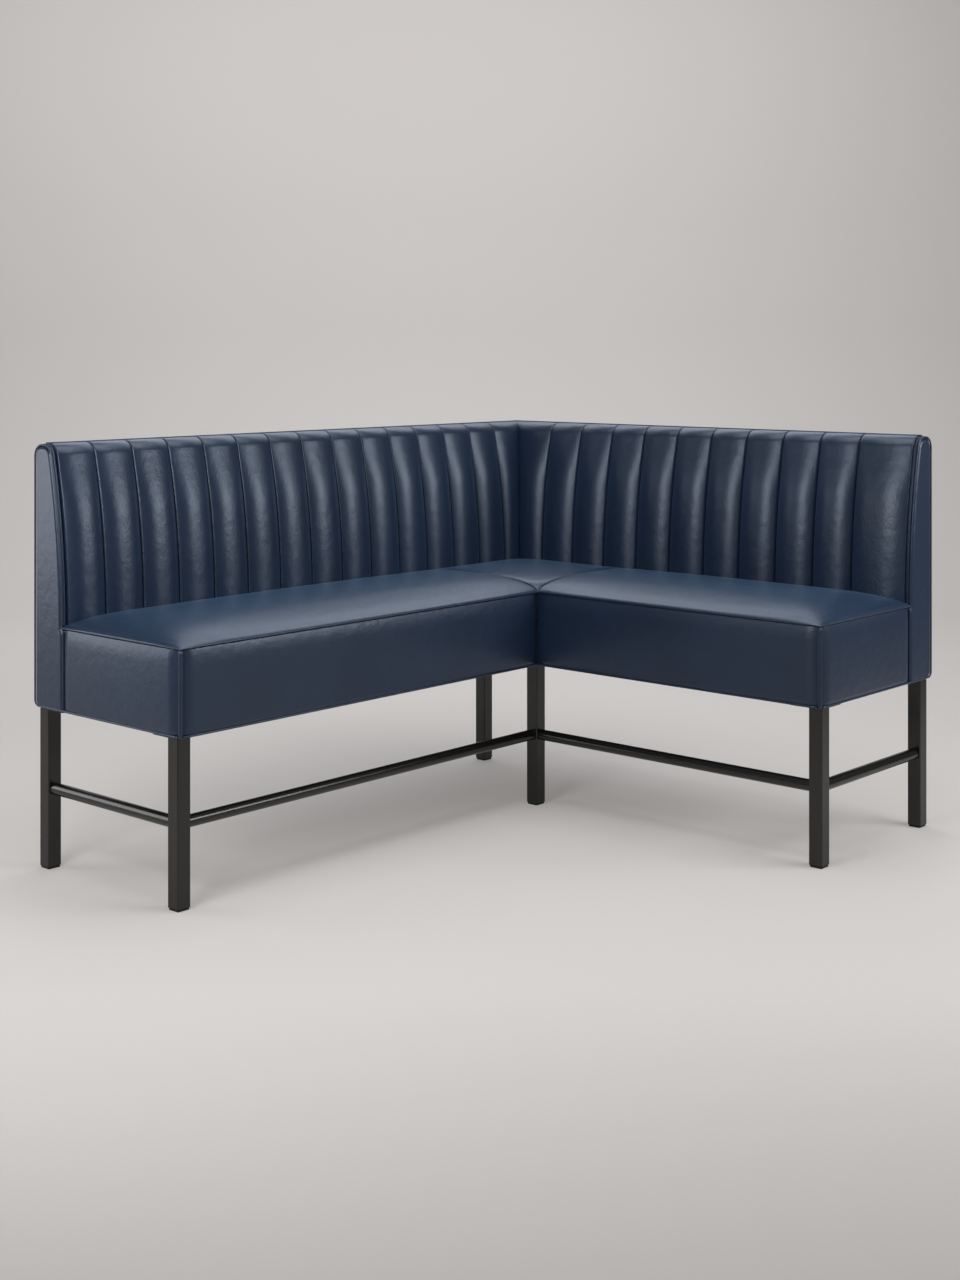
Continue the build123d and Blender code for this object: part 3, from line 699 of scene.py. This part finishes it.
for wing in WINGS:
    def front_place(x, y, swell, wing=wing):
        return wing.place(wing.panel_start + x, DEPTH - PANEL + swell, BOX_BOTTOM + y)

    def end_place(x, y, swell, wing=wing):
        return wing.place(wing.length - PANEL + swell, BACK_DEPTH + GAP + x, BOX_BOTTOM + y)

    front_width = wing.length - CORNER_WELT - PANEL_GAP - wing.panel_start
    end_width = DEPTH - CORNER_WELT - PANEL_GAP - (BACK_DEPTH + GAP)
    side_panel(f"{wing.name}_front_panel_leather", front_place, front_width,
               [f"{wing.name}_front_panel"], INNER_ROLL)
    side_panel(f"{wing.name}_seat_end_leather", end_place, end_width,
               [f"{wing.name}_seat_end_panel"], JOINT_ROLL)
    heights = np.linspace(BOX_BOTTOM, SEAM_HEIGHT, 24)
    path = wing.place(wing.length - CORNER_PIPING_RADIUS, DEPTH - CORNER_PIPING_RADIUS, heights)
    flange = wing.place(wing.length - CORNER_WELT, DEPTH - CORNER_WELT, heights)
    tubes = [tube(path, CORNER_PIPING_RADIUS, 24), tube(flange, CORNER_FLANGE_RADIUS, 16)]
    make_piece(f"{wing.name}_corner_piping", *merged(tubes), LEATHER, [f"{wing.name}_corner_welt"])


# Seams, hems and top piping

for wing in WINGS:
    end_v = np.linspace(LIP_RADIUS, DEPTH - CORNER_WELT, 60)
    front_u = np.linspace(wing.length - CORNER_WELT, wing.panel_start + 0.002, 60)
    hem_z = BOX_BOTTOM + HEM_RADIUS
    hems = (wing.place(wing.length - HEM_INSET, end_v, hem_z), wing.place(front_u, DEPTH - HEM_INSET, hem_z))
    make_piece(f"{wing.name}_bottom_hem", *merged([tube(hem, HEM_RADIUS, 12) for hem in hems]), LEATHER)
    heights = np.linspace(BOX_BOTTOM, SEAM_HEIGHT - 0.001, 30)
    joint = wing.place(wing.length - JOINT_INSET, BACK_DEPTH, heights)
    tucked = wing.place(wing.length - PANEL, BACK_DEPTH + GAP, heights)
    tubes = [tube(joint, JOINT_RADIUS, 14), tube(tucked, TUCKED_LEATHER_RADIUS, 14)]
    make_piece(f"{wing.name}_side_joint_welt", *merged(tubes), LEATHER)
    top_u = np.linspace(TOP_WELT_DEPTH, wing.pad_end, 60)
    top = wing.place(top_u, TOP_WELT_DEPTH, HEIGHT + TOP_WELT_RISE - TOP_WELT_RADIUS)
    make_piece(f"{wing.name}_top_piping", *tube(top, TOP_WELT_RADIUS, 14), LEATHER)

valley_place = DEPTH - PANEL - VALLEY_RADIUS / 3
valley = LONG.place(valley_place, valley_place, np.linspace(BOX_BOTTOM, SEAM_HEIGHT - 0.001, 30))
make_piece("inner_corner_seam", *tube(valley, VALLEY_RADIUS, 12), LEATHER)


def stitches(path, count):
    """Short rounded threads laid end to end along a path, with gaps between them."""
    path = np.asarray(path, float)
    steps = np.concatenate([[0], np.cumsum(np.linalg.norm(np.diff(path, axis=0), axis=1))])
    parts = []
    for i in range(count):
        middle = (i + 0.5) * steps[-1] / count
        along = middle + STITCH_LENGTH / 2 * np.array([-1.0, -0.8, -0.3, 0.3, 0.8, 1.0])
        centres = np.stack([np.interp(along, steps, path[:, k]) for k in range(3)], 1)
        parts.append(tube(centres, STITCH_RADIUS * np.array([0.3, 0.8, 1.0, 1.0, 0.8, 0.3]), 6))
    return merged(parts)


def seam_line(wing):
    """The line of the row of stitches along the top of the end and front panels."""
    height = SEAM_HEIGHT + STITCH_RISE
    end_v = np.linspace(BACK_DEPTH + 0.004, DEPTH - STITCH_INSET, 30)
    front_u = np.linspace(wing.length - STITCH_INSET, DEPTH + 0.003, 60)[1:]
    return np.concatenate([wing.place(wing.length - STITCH_INSET, end_v, height),
                           wing.place(front_u, DEPTH - STITCH_INSET, height)])


for wing in WINGS:
    line = seam_line(wing)
    length = np.linalg.norm(np.diff(line, axis=0), axis=1).sum()
    make_piece(f"{wing.name}_seat_seam_stitches", *stitches(line, int(length / STITCH_PITCH)), THREAD)


# Floor, backdrop, lights and camera

CAMERA_PLACE = Vector((-2.9336, -2.5580, 1.0889))
VIEW = Vector((0.7457, 0.6663, 0.0)).normalized()
RIGHT = Vector((VIEW.y, -VIEW.x, 0.0))
# Painted shade on the floor and backdrop: their colour darkens towards the camera and far off to the right,
# where light falls off. Given are where each fade runs along the view or to the right, and the tone it
# reaches.
NEAR_SHADE_SPAN, NEAR_SHADE_TONE = (-1.9, -0.9), 0.8
RIGHT_SHADE_SPAN, RIGHT_SHADE_TONE = (2.2, 3.1), 0.4


def stage_material(name, colour, glow):
    """Matt paper whose colour carries painted shade, darker towards the camera and far to the right; part of
    its tone is a fixed glow that the camera and gloss see.
    """
    material, nodes, links, shader = new_material(name)
    shader.inputs["Roughness"].default_value = 0.95
    shader.inputs["Specular IOR Level"].default_value = 0.1
    tone = nodes.new("ShaderNodeMix")
    tone.data_type, tone.blend_type = "RGBA", "MULTIPLY"
    tone.inputs["Factor"].default_value = 1.0
    near = [(0.0, tuple(c * NEAR_SHADE_TONE for c in colour)), (1.0, colour)]
    right = [(0.0, (1.0, 1.0, 1.0)), (1.0, (RIGHT_SHADE_TONE,) * 3)]
    # Painted shade: the paper's colour is multiplied down towards the camera and far off to the right.
    for direction, (start, end), stops, socket in (
            (VIEW, NEAR_SHADE_SPAN, near, tone.inputs[6]), (RIGHT, RIGHT_SHADE_SPAN, right, tone.inputs[7])):
        along = nodes.new("ShaderNodeVectorMath")
        along.operation = "DOT_PRODUCT"
        along.inputs[1].default_value = direction
        links.new(position(nodes), along.inputs[0])
        shift = nodes.new("ShaderNodeMapRange")
        shift.inputs["From Min"].default_value = start
        shift.inputs["From Max"].default_value = end
        links.new(along.outputs["Value"], shift.inputs["Value"])
        links.new(ramp(nodes, links, shift.outputs["Result"], stops).outputs["Color"], socket)
    links.new(tone.outputs[2], shader.inputs["Base Color"])
    emission = nodes.new("ShaderNodeEmission")
    links.new(tone.outputs[2], emission.inputs["Color"])
    path = nodes.new("ShaderNodeLightPath")
    seen = path.outputs["Is Camera Ray"]
    for ray in ("Is Glossy Ray", "Is Transmission Ray"):
        either = nodes.new("ShaderNodeMath")
        either.operation = "MAXIMUM"
        links.new(seen, either.inputs[0])
        links.new(path.outputs[ray], either.inputs[1])
        seen = either.outputs[0]
    share = nodes.new("ShaderNodeMath")
    share.operation = "MULTIPLY"
    share.inputs[1].default_value = glow
    links.new(seen, share.inputs[0])
    mix = nodes.new("ShaderNodeMixShader")
    links.new(share.outputs[0], mix.inputs["Fac"])
    links.new(shader.outputs["BSDF"], mix.inputs[1])
    links.new(emission.outputs["Emission"], mix.inputs[2])
    links.new(mix.outputs["Shader"], nodes["Material Output"].inputs["Surface"])
    return material


def backdrop():
    """A floor that curves up into a wall behind the bench."""
    bend, near, far, half_width, top = 1.2, -14.0, 3.2, 14.0, 5.0
    section = [(near, 0.0), (far, 0.0)]
    for a in np.linspace(0, math.pi / 2, 24)[1:]:
        section.append((far + bend * math.sin(a), bend * (1 - math.cos(a))))
    section.append((far + bend, top))
    points, count = [], len(section)
    for side in (-half_width, half_width):
        for along, z in section:
            p = VIEW * along + RIGHT * side
            points.append((p.x, p.y, z))
    faces = [(i, i + 1, count + i + 1, count + i) for i in range(count - 1)]
    mesh = bpy.data.meshes.new("backdrop")
    mesh.from_pydata(points, [], faces)
    mesh.materials.append(stage_material("backdrop_paper", (0.57, 0.545, 0.53), 0.33))
    mesh.shade_smooth()
    add_object("backdrop", mesh)


backdrop()


def softbox(name, place, aim, size, power, colour=(1.0, 1.0, 1.0)):
    """A rectangular lamp that the camera doesn't see; size is its width and height."""
    light = bpy.data.lights.new(name, "AREA")
    light.shape = "RECTANGLE"
    light.size, light.size_y = size
    light.energy = power
    light.color = colour
    lamp = add_object(name, light)
    lamp.location = place
    lamp.rotation_euler = (Vector(aim) - Vector(place)).to_track_quat("-Z", "Y").to_euler()
    lamp.visible_camera = False


softbox("front_softbox", (0.95, -2.1, 1.4), (0.0, 0.5, 0.75), (1.5, 0.8), 36)
softbox("left_softbox", (-2.1, -0.25, 1.4), (0.7, 0.1, 0.75), (0.9, 0.8), 28)
softbox("overhead_softbox", (-0.1, -0.3, 3.3), (-0.1, -0.3, 0.5), (2.4, 2.4), 58)
softbox("rear_softbox", (2.3, 2.1, 3.2), (0.0, 0.1, 0.6), (3.6, 1.8), 37, (0.82, 0.91, 1.0))
softbox("rear_left_card", (-1.9, 2.0, 0.95), (-0.78, 0.3, 0.5), (1.1, 1.2), 16)
backdrop_lamp = VIEW * 2.4 - RIGHT * 0.6 + Vector((0.0, 0.0, 3.1))
softbox("backdrop_softbox", backdrop_lamp, VIEW * 4.4 - RIGHT * 0.6 + Vector((0.0, 0.0, 0.6)), (5.0, 1.0), 72)

world = bpy.data.worlds.new("studio")
world.use_nodes = True
world.node_tree.nodes["Background"].inputs["Color"].default_value = (0.80, 0.79, 0.78, 1)
world.node_tree.nodes["Background"].inputs["Strength"].default_value = 0.15
bpy.context.scene.world = world

camera = bpy.data.cameras.new("camera")
camera.sensor_fit = "VERTICAL"
camera.sensor_height = 36.0
camera.lens = 50.10
camera.shift_y = -0.2290
viewer = add_object("camera", camera)
viewer.location = CAMERA_PLACE
viewer.rotation_euler = VIEW.to_track_quat("-Z", "Y").to_euler()
bpy.context.scene.camera = viewer
bpy.context.scene.view_settings.view_transform = "Standard"
